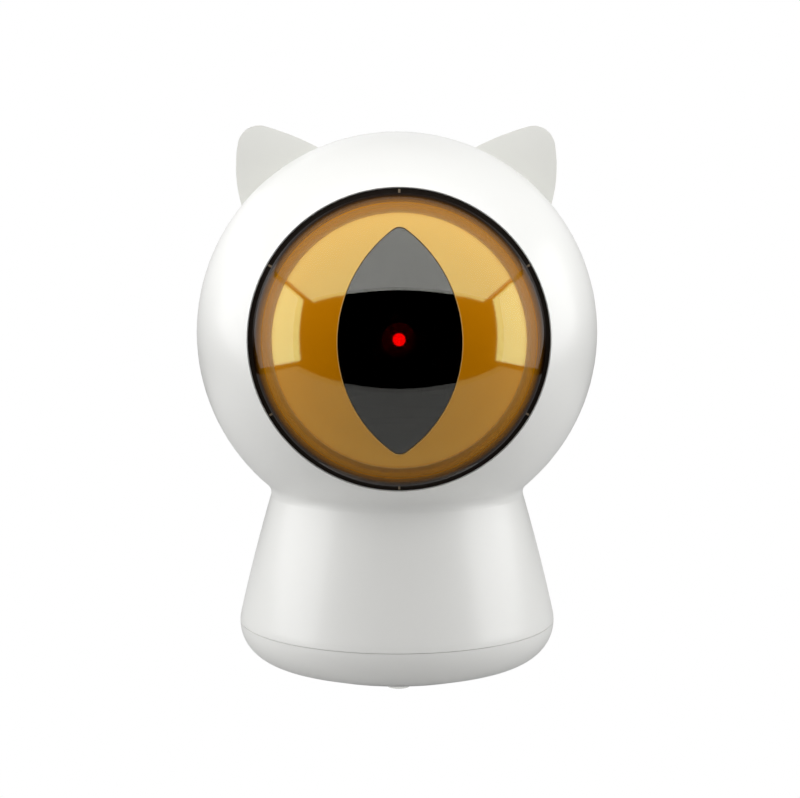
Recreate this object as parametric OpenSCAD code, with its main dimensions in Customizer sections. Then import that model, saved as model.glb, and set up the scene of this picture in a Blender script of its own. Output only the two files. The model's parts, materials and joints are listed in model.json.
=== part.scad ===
// Automatic cat laser toy: a ball-shaped head with two small ears and one large amber eye, on a
// round flared pedestal. Behind the slit pupil a laser turns on a geared pan and tilt gimbal.
// Millimetres. +Z is up, the eye looks along -Y, and the origin lies on the floor under the middle.

/* [Head] */
// Radius of the ball head
head_r = 50; // [49:0.5:52]
// Height of the ball's centre above the top of the battery box
head_lift = 26.8; // [26:0.1:30]
// Thickness of the moulded shells
shell_wall = 2.2; // [1.8:0.1:2.6]
// Depth of the tongue that lines up the two shells
lap_depth = 2.5; // [1.5:0.5:4]

/* [Ears] */
// Radius of the ear's round tip
ear_tip_r = 5.5; // [4:0.25:6]
// Distance from the ball's surface to the centre of the ear's tip
ear_reach = 8.15; // [6:0.1:9]
// Direction of the ear's tip from the ball's centre, in degrees above the horizontal
ear_angle = 53.3; // [50:0.1:57]
// Radius of the ear's curved outer edge
ear_outer_r = 34.4; // [26:0.2:40]
// Radius of the ear's long inner edge
ear_inner_r = 71.8; // [60:0.2:90]
// Distance of the ears' flat faces behind the ball's middle
ear_face_y = 7; // [4:0.5:10]
// Depth of an ear where it leaves the ball
ear_depth = 11; // [8:0.5:13]
// Radius of the peg that plugs each ear into the shell
ear_peg_r = 2.2; // [1.5:0.1:3]

/* [Eye] */
// Width of the white rim round the eye, seen from the front
eye_rim_w = 15.2; // [14.8:0.1:16.5]
// Width of the black ring round the lens
gasket_w = 1.2; // [1:0.1:1.5]
// Thickness of the clear amber lens
lens_t = 1.8; // [1.4:0.1:2.2]
// Width of the dark zone between the eye's rim and the iris
iris_inset = 5.5; // [5.2:0.1:6.5]
// Thickness of the iris
iris_t = 1.0; // [0.8:0.1:1.4]
// Half of the slit pupil's width
slit_half_w = 14.1; // [12:0.1:15]
// Distance of the slit pupil's ends from the edge of the iris
slit_inset = 3.4; // [2.8:0.1:5]
// Radius of the slit pupil's round tips
slit_tip_r = 2.6; // [2:0.1:4]

/* [Pedestal] */
// Largest radius of the pedestal
base_r = 39.85; // [38.5:0.25:42]
// Radius of the pedestal's rolled lower edge
roll_r = 9.5; // [9:0.25:10.25]
// Height of the widest line above the underside
roll_lift = 11; // [10.5:0.25:12]
// Inward lean of the side where it leaves the roll, in degrees
side_lean = 12.6; // [11.5:0.1:13.5]
// Radius of the side's slight outward bow
side_r = 450; // [350:10:600]
// Radius of the hollow curve between pedestal and head
neck_r = 3; // [2:0.25:5]
// Slope of the underside's outer ring, in degrees
under_slope = 17; // [15:0.5:20]
// Height of the line where the base pan meets the shells
seam_lift = 11.3; // [11:0.1:12.5]
// Thickness of the base pan
pan_wall = 2.0; // [1.6:0.1:2.4]
// Radius of a rubber foot
foot_r = 2.7; // [2:0.1:2.8]
// How far the feet stand out below the pedestal
foot_proud = 0.6; // [0.4:0.1:1]

/* [Battery box] */
// Diameter of one AA cell
cell_d = 14.2; // [14:0.1:14.5]
// Length of one AA cell with its nub
cell_len = 50.5; // [49.5:0.1:50.5]
// Wall of the battery box
box_wall = 1.2; // [1:0.1:1.6]

/* [Gimbal] */
// Module of the gears
gear_m = 0.8; // [0.75:0.05:0.85]
// Teeth of a full pan gear
pan_teeth = 48; // [44:2:48]
// Teeth of a full tilt gear
tilt_teeth = 32; // [30:2:34]
// Teeth of each motor pinion
pinion_teeth = 12; // [12:1:13]
// Diameter of the two gear motors
motor_d = 15; // [12:0.5:15.5]
// Radius of the laser barrel
laser_r = 4; // [3:0.25:4.5]
// Distance from the tilt axis to the barrel's front face
laser_reach = 32; // [26:0.5:33]
// Radius of the laser's aperture lens
aperture_r = 1.45; // [1:0.05:1.8]

/* [Power button] */
// Radius of the button cap
button_r = 5.5; // [4:0.25:6.5]
// Height of the button's middle above the underside
button_lift = 30; // [27:0.5:31]
// Length of the button from its flange to the pedestal's surface
button_len = 7.2; // [6.5:0.1:8]
// Travel of the button
button_travel = 0.8; // [0.4:0.1:1]

/* [Hidden] */
$fn = 96;

// Clearances
seat_gap = 0.05;     // between pieces that are assembled and stay put
run_gap = 0.05;      // radial, round a turning shaft or pin
free_gap = 0.3;      // between pieces that move past each other
big = 200;           // larger than the object, for cutting halves

// Battery box, upright in the pedestal, with two by two cells
cell_gap = 0.3;
box_in = 2 * (cell_d + cell_gap);
box_out = box_in + 2 * box_wall;
box_corner = 3;
contact_t = 0.4;
contact_w = 10;
contact_inset = 4;
spring_h = 1.6;
spring_wire = 0.35;
spring_r = 4;
nub_h = 1.3;
nub_r = 2.7;
cell_play = 0.6;

// Heights of the object as it stands on its feet
base_z = foot_proud;
seam_z = base_z + seam_lift;
floor_z = base_z + pan_wall;
button_z = base_z + button_lift;
cell_z = floor_z + contact_t + spring_h;
box_top_z = cell_z + cell_len + contact_t + cell_play + box_wall;
head_z = box_top_z + head_lift;

// Screws: radius of the shank, radius and height of the head
small_screw = [1.0, 1.9, 1.3];
case_screw = [1.4, 2.6, 1.8];
socket_share = 0.7;
boss_wall = 1.4;

// Outline of head and pedestal, as circles that run into each other
bow_fn = 720;
head_c = [0, head_z];
roll_c = [base_r - roll_r, base_z + roll_lift];
side_c = roll_c + (roll_r - side_r) * polar(1, side_lean);
neck_span = norm(head_c - side_c);
neck_along = (pow(side_r + neck_r, 2) - pow(head_r + neck_r, 2) + pow(neck_span, 2)) / (2 * neck_span);
neck_off = sqrt(pow(side_r + neck_r, 2) - pow(neck_along, 2));
neck_dir = (head_c - side_c) / neck_span;
neck_c = side_c + neck_along * neck_dir + neck_off * [neck_dir.y, -neck_dir.x];
side_top_angle = atan2(neck_c.y - side_c.y, neck_c.x - side_c.x);

// The two shells: a tongue on the front one lines the rear one, and a fine line shows between them
tongue_t = 1.1;
tongue_bite = 0.4;
part_line = 0.12;

// Eye: distances run forward from the ball's centre
inner_r = head_r - shell_wall;
eye_r = head_r - eye_rim_w;
iris_r = eye_r - iris_inset;
slit_half_h = iris_r - slit_inset;
rim_f = sphere_f(head_r, eye_r);
seat_w = 2.2;
seat_f = sphere_f(inner_r, eye_r + seat_w) - free_gap;
rim_chamfer = 0.45;
lens_edge_r = eye_r - gasket_w;
lens_in_r = head_r - lens_t;
skirt_t = 1.7;
flange_w = 1.8;
flange_t = 1.35;
flange_r = lens_edge_r + flange_w;
flange_back_f = seat_f - flange_t;
gasket_recess = 0.6;
iris_out_r = lens_in_r - 0.8;
iris_in_r = iris_out_r - iris_t;
slit_tip_z = slit_half_h - slit_tip_r;
slit_arc_r = (pow(slit_half_w, 2) + pow(slit_tip_z, 2) - pow(slit_tip_r, 2))
             / (2 * (slit_half_w - slit_tip_r));
slit_arc_x = slit_arc_r - slit_half_w;
window_t = 0.8;
frame_lip = 1.5;
frame_t = 1.6;
frame_wall = 2;
frame_rise = 4;
frame_boss_r = small_screw[0] + 1.1;
frame_screw_at = flange_r + 3 * seat_gap + frame_boss_r;
frame_boss_f = min(flange_back_f, sphere_f(inner_r - 3 * seat_gap, frame_screw_at + frame_boss_r));
frame_back_f = frame_boss_f - frame_t;
frame_screw_len = 4.2;
frame_screw_angles = [0, 120, 240];
clip_count = 6;
clip_size = [3.4, 1.0, 1.4];
clip_f = seat_f + 0.4;

// Ears: directions in which the tip's arc meets the outer and the inner edge, and the round back
ear_outer_turn = 10.1;
ear_inner_turn = 105.7;
ear_tip = polar(head_r + ear_reach, ear_angle);
ear_outer_c = ear_tip - polar(ear_outer_r - ear_tip_r, ear_outer_turn);
ear_inner_c = ear_tip - polar(ear_inner_r - ear_tip_r, ear_inner_turn);
ear_tip_over = 0.01;  // lets the tip's arc cross both edges
ear_back_r = 32.6;
ear_back_sink = 10;
ear_back_y = ear_face_y + ear_depth - sphere_f(ear_back_r, ear_back_sink);
ear_peg_y = ear_face_y + ear_depth / 2;
ear_peg_len = shell_wall + 1.5;
ear_fn = 180;

// Battery door in the base pan
door_half = box_in / 2 - 0.6;
door_boss_r = small_screw[0] + 1.2;
door_boss_h = 3.5;
door_screw_y = -box_out / 2 - door_boss_r - 0.1;
door_tab = 9;
door_tab_end = door_screw_y - small_screw[1] - 0.5;
door_tab_t = pan_wall - 0.8;
door_screw_z = base_z + door_tab_t - 0.3;
door_screw_len = 4;
cell_at = (cell_d + cell_gap) / 2;

// Feet and base screws
foot_ring_r = foot_r + 0.8 - door_tab_end;
foot_sink = 1.0;
base_screw_ring = foot_ring_r + 2.4;
base_angles = [45, 135, 225, 315];
foot_angles = [0, 90, 180, 270];
base_boss_r = case_screw[0] + boss_wall + 0.5;
base_boss_z = floor_z + 3.2;
base_boss_top = seam_z + 10;
base_screw_z = base_z + 3.2;
base_screw_len = 10;
web_t = 1.6;
web_z = seam_z + 3;
rim_t = 1.3;
rim_rise = 2;
rim_top_z = seam_z + rim_rise;
rim_bite = 0.5;
rim_grow = 0.6;

// Chassis plate on four posts, two on each shell
plate_t = 2;
plate_top_z = head_z - gear_m * (pan_teeth + 2) / 2 - 0.5;
plate_z = plate_top_z - plate_t;
plate_r = 36;
plate_front_y = 2.2 - frame_back_f;
post_x = 26;
post_front_y = plate_front_y + 7;
post_rear_y = 20;
post_r = case_screw[0] + boss_wall;
post_foot_z = neck_c.y + 1;
post_fin = 1.35;
plate_screw_len = 7;
pilot_r = 2.4;

// Gears
pressure = 25;
dedendum = 1.25 * gear_m;
root_bite = 0.2;
backlash = 0.12;
flank_steps = 5;
pan_ring_r = gear_m * pan_teeth / 2;
tilt_ring_r = gear_m * tilt_teeth / 2;
pinion_pitch_r = gear_m * pinion_teeth / 2;
pan_motor_x = pan_ring_r + pinion_pitch_r;
tilt_motor_y = tilt_ring_r + pinion_pitch_r;
gear_t = 2.6;
pan_gear_z = plate_top_z + 0.8;
pan_tooth_span = 5;
tilt_tooth_span = 5;
motor_gap = 2.45;
motor_len = sphere_f(inner_r, pan_motor_x + motor_d / 2) - head_z + plate_z - motor_gap;
motor_shaft_r = 1;
shaft_end = 0.5;
hub_r = 4;
bushing_r = 6;
bushing_flange_r = 8;
bushing_flange_t = 0.5;
washer_t = 0.8;
pan_screw_len = 5;
washer_r = 6.5;

// Yoke and tilting cradle
arm_t = 2.2;
arm_x = 12.5;
arm_half_y = 6;
arm_head_r = 6;
pin_r = 1.5;
pin_bite = 4.5;
trunnion_r = pin_r + 1.5;
cradle_half_x = laser_r + 3;
cradle_half_z = laser_r + 2;
cradle_front = 9;
cradle_rear = 6;
sector_x = 9.8;
sector_t = 2.0;
pinion_lead = 0.3;
bracket_t = 2;
bracket_x = sector_x - bracket_t - 1.3;
barrel_wall = 1;
barrel_tail = 2;
cap_t = 1.5;
aperture_proud = 0.35;
set_screw_len = 2.4;
set_screw_y = -2;

// Button at the back, and the circuit board between it and the battery box
switch_body = [6, 3.3, 6];
switch_stem = [1.7, 0.5];
switch_play = 0.2;
button_flange_t = 1.0;
button_flange_w = 1.2;
button_back_y = side_radius(button_z) - button_len;
board_t = 1.6;
board_half_x = 13;
board_low_z = base_z + 20;
board_high_z = base_z + 44;
board_back_y = button_back_y - switch_play - button_travel - switch_stem[1] - switch_body.y;
board_y = board_back_y - board_t;
board_screw_len = board_t + 0.55 * (board_y - box_out / 2);
standoff_r = 2.2;
standoff_x = board_half_x - 2.8;
standoff_z = [board_low_z + 3, board_high_z - 3];
// Chips: left edge, lower edge above the board's, width, thickness and height
chips = [[-11.5, 8, 9, 1.6, 7], [3, 9, 6, 1.2, 5], [-4, 19, 8, 1.8, 4]];
guide_wall = 1.4;
guide_end_y = button_back_y + button_flange_t + free_gap;
button_proud = 0.5;
pipe_r = 1.25;
pipe_proud = 0.15;
pipe_z = button_z + 10.3;
led_size = [3, 1.2, 2];

// Charging inlet on its own small board, low at the back
usb_size = [9.0, 7.4, 3.2];
usb_gap = 0.25;
usb_board_size = [17, 9.5, 1.4];
usb_board_z = rim_top_z + 1.8;
usb_low_z = usb_board_z + usb_board_size.z;
usb_face_y = side_radius(usb_low_z + usb_size.z) - 0.2;
usb_board_ahead = 4.7;
usb_wall = 0.3;
usb_corner = usb_size.z / 2 - 0.2;
usb_tongue = [6.6, 0.7];
ledge = [2, 8, 1.5];
ledge_z = usb_board_z - ledge.z;

// Screws that draw the two shells together, either side of the crown
joiner_at = polar(inner_r - 6.2, 35.2);
joiner_x = joiner_at.x;
joiner_z = head_z + joiner_at.y;
joiner_boss_r = case_screw[1] + boss_wall;
joiner_head_y = 8;
joiner_len = 14;

function polar(r, a) = r * [cos(a), sin(a)];
function sphere_f(r, off) = sqrt(pow(r, 2) - pow(off, 2));
function under_flat_r(inset) =
    let (p = roll_c + (roll_r - inset) * [sin(under_slope), -cos(under_slope)])
    p.x - (p.y - base_z - inset) / tan(under_slope);
// Outer radius of the pedestal's side at height z
function side_radius(z) = side_c.x + sqrt(pow(side_r, 2) - pow(z - side_c.y, 2));
function involute(a) = tan(a) * 180 / PI - a;
// Half of a tooth's angle at radius r, on a gear with the given teeth
function half_tooth(r, teeth) =
    let (pitch = gear_m * teeth / 2, foot = pitch * cos(pressure))
    90 / teeth - backlash / pitch * 90 / PI / 2 + involute(pressure) - involute(acos(foot / max(r, foot)));

// ---- Shapes that several pieces share ----

// Half outline of head and pedestal, drawn inward by inset
module outline(inset) {
    under = roll_c + (roll_r - inset) * [sin(under_slope), -cos(under_slope)];
    far = 1.5 * side_r;
    intersection() {
        translate([0, base_z + inset]) square(big);
        union() {
            translate(head_c) circle(head_r - inset);
            translate(roll_c) circle(roll_r - inset);
            intersection() {
                translate(side_c) circle(side_r - inset, $fn = bow_fn);
                polygon([side_c, side_c + polar(far, side_lean), side_c + polar(far, side_top_angle + 1)]);
            }
            polygon([[0, base_z], [under_flat_r(inset), base_z + inset], under, roll_c, head_c]);
            difference() {
                polygon([head_c, side_c, neck_c]);
                translate(neck_c) circle(neck_r + inset);
            }
        }
    }
}

// Solid of revolution between two insets of the outline
module skin(outer, inner) {
    rotate_extrude() difference() {
        outline(outer);
        outline(inner);
    }
}

module body_of_revolution(inset) {
    rotate_extrude() outline(inset);
}

// Local +Z points forward out of the eye, from the ball's centre
module eye_axis() {
    translate([0, 0, head_z]) rotate([90, 0, 0]) children();
}

// Local +Z points to the side, local +X to the rear, at the tilt axis
module tilt_axis() {
    translate([0, 0, head_z]) rotate([90, 0, 90]) children();
}

// Local +Z points to the rear
module rearward(x, y, z) {
    translate([x, y, z]) rotate([-90, 0, 0]) children();
}

module tube(r_out, r_in, h) {
    linear_extrude(h) difference() {
        circle(r_out);
        circle(r_in);
    }
}

// Screw that points along +Z: its head lies below z = 0, its shank above
module screw(kind, len) {
    cylinder(r = kind[0], h = len);
    translate([0, 0, -kind[2]]) difference() {
        cylinder(r = kind[1], h = kind[2]);
        translate([0, 0, -seat_gap]) cylinder(r = kind[0] * socket_share, h = kind[2] / 2, $fn = 6);
    }
}

module rounded_box(size, corner, h) {
    half = size / 2 - [corner, corner];
    linear_extrude(h) union() {
        square(size - [2 * corner, 0], center = true);
        square(size - [0, 2 * corner], center = true);
        for (sx = [-1, 1], sy = [-1, 1]) translate([sx * half.x, sy * half.y]) circle(corner);
    }
}

// Slit of the pupil with round tips, grown outward by grow
module slit(grow) {
    reach = (slit_arc_r + grow) * slit_tip_z / norm([slit_arc_x, slit_tip_z]);
    intersection() {
        translate([-slit_arc_x, 0]) circle(slit_arc_r + grow);
        translate([slit_arc_x, 0]) circle(slit_arc_r + grow);
        square([4 * slit_half_w, 2 * reach], center = true);
    }
    for (s = [-1, 1]) translate([0, s * slit_tip_z]) circle(slit_tip_r + grow);
}

// Involute tooth that points along +X
module tooth(teeth) {
    pitch = gear_m * teeth / 2;
    tip = pitch + gear_m;
    foot = max(pitch * cos(pressure), pitch - dedendum);
    root = pitch - dedendum - root_bite;
    radii = [for (i = [0 : flank_steps]) foot + (tip - foot) * i / flank_steps];
    upper = concat([polar(root, half_tooth(foot, teeth))], [for (r = radii) polar(r, half_tooth(r, teeth))]);
    lower = [for (i = [len(upper) - 1 : -1 : 0]) [upper[i].x, -upper[i].y]];
    polygon(concat(upper, lower));
}

// Gear blank of thickness h with teeth from index first to last, tooth 0 on +X
module gear(teeth, first, last, h) {
    cylinder(r = gear_m * teeth / 2 - dedendum, h = h);
    for (i = [first : last]) rotate(i * 360 / teeth) linear_extrude(h) tooth(teeth);
}

module pinion(shaft) {
    rotate(180 + 180 / pinion_teeth) difference() {
        gear(pinion_teeth, 0, pinion_teeth - 1, gear_t);
        translate([0, 0, -1]) cylinder(r = shaft + seat_gap / 2, h = gear_t + 2);
    }
}

// ---- Shells ----

// Post with a fin to the lower shell, which carries the chassis plate
module chassis_post(x, y) {
    high = plate_z - post_foot_z;
    fin_len = norm([x, y]) * (post_fin - 1);
    intersection() {
        body_of_revolution(shell_wall / 2);
        translate([x, y, post_foot_z]) union() {
            cylinder(r = post_r, h = high);
            rotate(atan2(y, x)) translate([post_r - boss_wall / 2, -web_t / 2, 0])
                cube([fin_len, web_t, high - boss_wall]);
        }
    }
}

module chassis_post_bore(x, y) {
    translate([x, y, plate_z - plate_screw_len])
        cylinder(r = case_screw[0] + seat_gap, h = plate_screw_len + 1);
}

// Boss and web that take a base screw, at angle a
module base_boss(a) {
    intersection() {
        body_of_revolution(shell_wall / 2);
        rotate(a) translate([0, 0, base_boss_z]) union() {
            translate([base_screw_ring, 0, 0]) cylinder(r = base_boss_r, h = base_boss_top - base_boss_z);
            translate([base_screw_ring, -web_t / 2, web_z - base_boss_z])
                cube([base_r - base_screw_ring, web_t, base_boss_top - web_z]);
        }
    }
}

module base_boss_bore(a) {
    rotate(a) translate([base_screw_ring, 0, base_boss_z - 1])
        cylinder(r = case_screw[0] + seat_gap, h = base_screw_len + 1);
}

module joiner_boss(x, y_from, y_to) {
    intersection() {
        translate([0, 0, head_z]) sphere(head_r - shell_wall / 2);
        rearward(x, y_from, joiner_z) cylinder(r = joiner_boss_r, h = y_to - y_from);
    }
}

module front_shell() {
    color("white") difference() {
        union() {
            intersection() {
                skin(0, shell_wall);
                translate([-big, -big - part_line, seam_z]) cube([2 * big, big, big]);
            }
            // Tongue that reaches behind the rear shell
            intersection() {
                skin(shell_wall + seat_gap, shell_wall + tongue_t);
                translate([-big, -part_line, post_foot_z]) cube([2 * big, lap_depth + part_line, big]);
            }
            intersection() {
                skin(shell_wall - tongue_bite, shell_wall + tongue_t);
                translate([-big, -lap_depth, post_foot_z]) cube([2 * big, lap_depth - part_line, big]);
            }
            // Seat ring round the eye, and the bosses for the iris frame
            eye_axis() intersection() {
                sphere(head_r - shell_wall / 2);
                union() {
                    translate([0, 0, seat_f]) cylinder(r = eye_r + seat_w, h = head_r - seat_f);
                    for (a = frame_screw_angles) rotate(a) translate([frame_screw_at, 0, frame_boss_f])
                        cylinder(r = frame_boss_r, h = head_r - frame_boss_f);
                }
            }
            for (s = [-1, 1]) {
                chassis_post(s * post_x, post_front_y);
                base_boss(270 + s * 45);
                joiner_boss(s * joiner_x, -head_r, 0);
            }
        }
        eye_axis() {
            translate([0, 0, frame_back_f - frame_wall]) cylinder(r = eye_r, h = big);
            translate([0, 0, rim_f - 2 * rim_chamfer])
                cylinder(r1 = eye_r - rim_chamfer, r2 = eye_r + 2 * rim_chamfer, h = 3 * rim_chamfer);
            for (a = frame_screw_angles) rotate(a) translate([frame_screw_at, 0, frame_back_f])
                cylinder(r = small_screw[0] + seat_gap, h = frame_screw_len + seat_gap);
        }
        for (s = [-1, 1]) {
            chassis_post_bore(s * post_x, post_front_y);
            base_boss_bore(270 + s * 45);
            rearward(s * joiner_x, joiner_head_y - joiner_len - seat_gap, joiner_z)
                cylinder(r = case_screw[0] + seat_gap, h = joiner_len + 1);
        }
    }
}

module rear_shell() {
    color("white") difference() {
        union() {
            intersection() {
                skin(0, shell_wall);
                translate([-big, 0, seam_z]) cube([2 * big, big, big]);
            }
            for (s = [-1, 1]) {
                chassis_post(s * post_x, post_rear_y);
                base_boss(90 + s * 45);
                joiner_boss(s * joiner_x, 0, head_r);
                // Ledges under the charging board
                intersection() {
                    body_of_revolution(shell_wall / 2);
                    translate([(s * usb_board_size.x - ledge.x) / 2, usb_face_y - ledge.y, ledge_z])
                        cube(ledge);
                }
            }
            // Guide tube of the button and collar of the light pipe
            intersection() {
                body_of_revolution(shell_wall / 2);
                union() {
                    rearward(0, guide_end_y, button_z)
                        cylinder(r = button_r + free_gap + guide_wall, h = base_r);
                    rearward(0, guide_end_y, pipe_z) cylinder(r = pipe_r + guide_wall, h = base_r);
                }
            }
        }
        rearward(0, 0, button_z) cylinder(r = button_r + free_gap, h = base_r);
        rearward(0, 0, pipe_z) cylinder(r = pipe_r + seat_gap, h = base_r);
        translate([-usb_size.x / 2 - usb_gap, usb_face_y - usb_size.y, usb_low_z - usb_gap])
            cube([usb_size.x + 2 * usb_gap, 2 * usb_size.y, usb_size.z + 2 * usb_gap]);
        for (s = [-1, 1]) {
            chassis_post_bore(s * post_x, post_rear_y);
            base_boss_bore(90 + s * 45);
            rearward(s * joiner_x, 0, joiner_z) {
                translate([0, 0, -1]) cylinder(r = case_screw[0] + seat_gap, h = joiner_head_y + 1);
                translate([0, 0, joiner_head_y]) cylinder(r = case_screw[1] + seat_gap, h = head_r);
            }
            ear_peg(s, ear_peg_r + seat_gap, ear_peg_len + 1);
        }
    }
}

module shell_screws() {
    color("silver") for (s = [-1, 1])
        rearward(s * joiner_x, joiner_head_y, joiner_z) mirror([0, 0, 1]) screw(case_screw, joiner_len);
}

// ---- Ears ----

// Peg that runs inward from the ear's root through the shell, on side s
module ear_peg(s, r, len) {
    root = polar(head_r, ear_angle);
    swing = atan2(norm([root.x, ear_peg_y]), root.y);
    translate([0, 0, head_z]) mirror([s < 0 ? 1 : 0, 0, 0])
        rotate([0, 0, atan2(ear_peg_y, root.x)]) rotate([0, swing, 0])
        translate([0, 0, head_r - len]) cylinder(r = r, h = len + ear_peg_r);
}

// Face of the right ear: two long arcs that a round tip joins
module ear_face() {
    intersection() {
        translate(ear_outer_c) circle(ear_outer_r, $fn = ear_fn);
        translate(ear_inner_c) circle(ear_inner_r, $fn = ear_fn);
        // Everything on the root's side of the line through both ends of the tip's arc
        translate(ear_tip) rotate((ear_outer_turn + ear_inner_turn) / 2)
            translate([ear_tip_r * cos((ear_inner_turn - ear_outer_turn) / 2) - big, -big / 2]) square(big);
    }
    translate(ear_tip) circle(ear_tip_r + ear_tip_over);
}

module ear(s) {
    back = polar(head_r - ear_back_sink, ear_angle);
    difference() {
        translate([0, 0, head_z]) mirror([s < 0 ? 1 : 0, 0, 0]) intersection() {
            translate([0, ear_face_y + head_r, 0]) rotate([90, 0, 0]) linear_extrude(head_r) ear_face();
            translate([back.x, ear_back_y, back.y]) sphere(ear_back_r, $fn = ear_fn);
        }
        translate([0, 0, head_z]) sphere(head_r + seat_gap);
    }
    ear_peg(s, ear_peg_r, ear_peg_len);
}

module left_ear() {
    color("gainsboro") ear(-1);
}

module right_ear() {
    color("gainsboro") ear(1);
}

// ---- Eye ----

module eye_lens() {
    color("orange") eye_axis() difference() {
        union() {
            intersection() {
                sphere(head_r);
                translate([0, 0, flange_back_f]) cylinder(r = lens_edge_r, h = head_r);
            }
            translate([0, 0, flange_back_f]) cylinder(r = flange_r, h = flange_t);
        }
        intersection() {
            sphere(lens_in_r);
            cylinder(r = lens_edge_r - skirt_t, h = head_r);
        }
    }
}

module eye_gasket() {
    color("black") eye_axis() translate([0, 0, seat_f])
        tube(eye_r - seat_gap, lens_edge_r + seat_gap, rim_f - gasket_recess - seat_f);
}

module iris() {
    color("goldenrod") eye_axis() difference() {
        intersection() {
            sphere(iris_out_r);
            cylinder(r = iris_r, h = head_r);
        }
        sphere(iris_in_r);
        linear_extrude(head_r) slit(0);
    }
}

module pupil_window() {
    color("dimgray") eye_axis() intersection() {
        difference() {
            sphere(iris_in_r + window_t);
            sphere(iris_in_r);
        }
        linear_extrude(head_r) slit(-2 * seat_gap);
    }
}

// Ring behind the iris: it carries the iris and clamps the lens flange
module iris_frame() {
    lip_r = iris_r - frame_lip;
    cone_r = lens_edge_r - skirt_t - 2 * seat_gap;
    lip_f = sphere_f(iris_in_r, iris_r);
    color("saddlebrown") eye_axis() difference() {
        union() {
            intersection() {
                sphere(iris_in_r - seat_gap);
                rotate_extrude() polygon([
                    [lip_r, frame_back_f + frame_rise], [lip_r, head_r], [iris_r, head_r], [iris_r, lip_f],
                    [cone_r, clip_f], [cone_r, flange_back_f], [flange_r, flange_back_f],
                    [flange_r, frame_back_f], [cone_r - frame_wall, frame_back_f]]);
            }
            intersection() {
                sphere(inner_r - 3 * seat_gap);
                for (a = frame_screw_angles) rotate(a) translate([0, 0, frame_back_f]) union() {
                    translate([frame_screw_at, 0, 0]) cylinder(r = frame_boss_r, h = frame_t);
                    translate([cone_r, -frame_boss_r, 0])
                        cube([frame_screw_at - cone_r, 2 * frame_boss_r, frame_t]);
                }
            }
            // Small catches round the lens edge
            for (i = [0 : clip_count - 1]) rotate(30 + i * 360 / clip_count)
                translate([cone_r - clip_size.y, -clip_size.x / 2, clip_f])
                cube([clip_size.y, clip_size.x, clip_size.z]);
        }
        for (a = frame_screw_angles) rotate(a) translate([frame_screw_at, 0, 0])
            cylinder(r = small_screw[0] + seat_gap, h = head_r);
    }
}

module iris_frame_screws() {
    color("silver") eye_axis() for (a = frame_screw_angles) rotate(a)
        translate([frame_screw_at, 0, frame_back_f]) screw(small_screw, frame_screw_len);
}

// ---- Base ----

module door_opening(grow, h) {
    rounded_box([2 * (door_half + grow), 2 * (door_half + grow)], box_corner, h);
}

module base_pan() {
    color("white") difference() {
        union() {
            intersection() {
                skin(0, pan_wall);
                cube([big, big, 2 * (seam_z - part_line)], center = true);
            }
            // Rim that reaches up inside the shells
            intersection() {
                skin(shell_wall + seat_gap, shell_wall + rim_t);
                translate([-big / 2, -big / 2, seam_z - rim_rise]) cube([big, big, 2 * rim_rise]);
            }
            intersection() {
                skin(rim_bite, shell_wall + rim_t);
                translate([-big / 2, -big / 2, seam_z - rim_rise]) cube([big, big, rim_rise]);
            }
            for (a = base_angles) rotate(a) translate([base_screw_ring, 0, 0])
                intersection() {
                    cylinder(r = base_boss_r + rim_grow, h = base_boss_z);
                    translate([-base_screw_ring, 0, 0]) body_of_revolution(0);
                }
            translate([0, door_screw_y, base_z + door_tab_t]) cylinder(r = door_boss_r, h = door_boss_h);
        }
        translate([0, 0, -1]) door_opening(free_gap, big / 20);
        translate([-door_tab / 2 - free_gap, door_tab_end - free_gap, -1])
            cube([door_tab + 2 * free_gap, -door_tab_end - door_half + box_corner, base_z + door_tab_t + 1]);
        translate([0, door_screw_y, 0])
            cylinder(r = small_screw[0] + seat_gap, h = door_screw_z + door_screw_len + seat_gap);
        for (a = base_angles) rotate(a) translate([base_screw_ring, 0, 0]) {
            cylinder(r = case_screw[0] + seat_gap, h = base_boss_z + 1);
            cylinder(r = case_screw[1] + seat_gap, h = base_screw_z);
        }
        for (a = foot_angles) rotate(a) translate([foot_ring_r, 0, 0])
            cylinder(r = foot_r + seat_gap, h = base_z + foot_sink);
    }
}

module base_screws() {
    color("silver") for (a = base_angles) rotate(a)
        translate([base_screw_ring, 0, base_screw_z]) screw(case_screw, base_screw_len);
}

module rubber_feet() {
    color("dimgray") for (a = foot_angles) rotate(a) translate([foot_ring_r, 0, 0])
        cylinder(r = foot_r, h = base_z + foot_sink - seat_gap);
}

module battery_door() {
    color("white") difference() {
        union() {
            translate([0, 0, base_z]) door_opening(0, pan_wall);
            translate([-door_tab / 2, door_tab_end, base_z])
                cube([door_tab, -door_tab_end - door_half + 1, door_tab_t - seat_gap]);
        }
        translate([0, door_screw_y, 0]) cylinder(r = small_screw[0] + seat_gap, h = big / 20);
        translate([0, door_screw_y, 0]) cylinder(r = small_screw[1] + seat_gap, h = door_screw_z);
    }
}

module battery_door_screw() {
    color("silver") translate([0, door_screw_y, door_screw_z]) screw(small_screw, door_screw_len);
}

// ---- Battery box ----

module battery_box() {
    color("dimgray") difference() {
        union() {
            translate([0, 0, floor_z]) rounded_box([box_out, box_out], box_corner, box_top_z - floor_z);
            for (s = [-1, 1], z = standoff_z) rearward(s * standoff_x, box_out / 2 - 1, z)
                cylinder(r = standoff_r, h = board_y - box_out / 2 + 1);
        }
        translate([0, 0, floor_z - 1]) rounded_box([box_in, box_in], box_corner - box_wall,
            box_top_z - box_wall - floor_z + 1);
        for (s = [-1, 1], z = standoff_z) rearward(s * standoff_x, box_out / 2, z)
            cylinder(r = small_screw[0] + seat_gap, h = board_y);
    }
}

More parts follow.
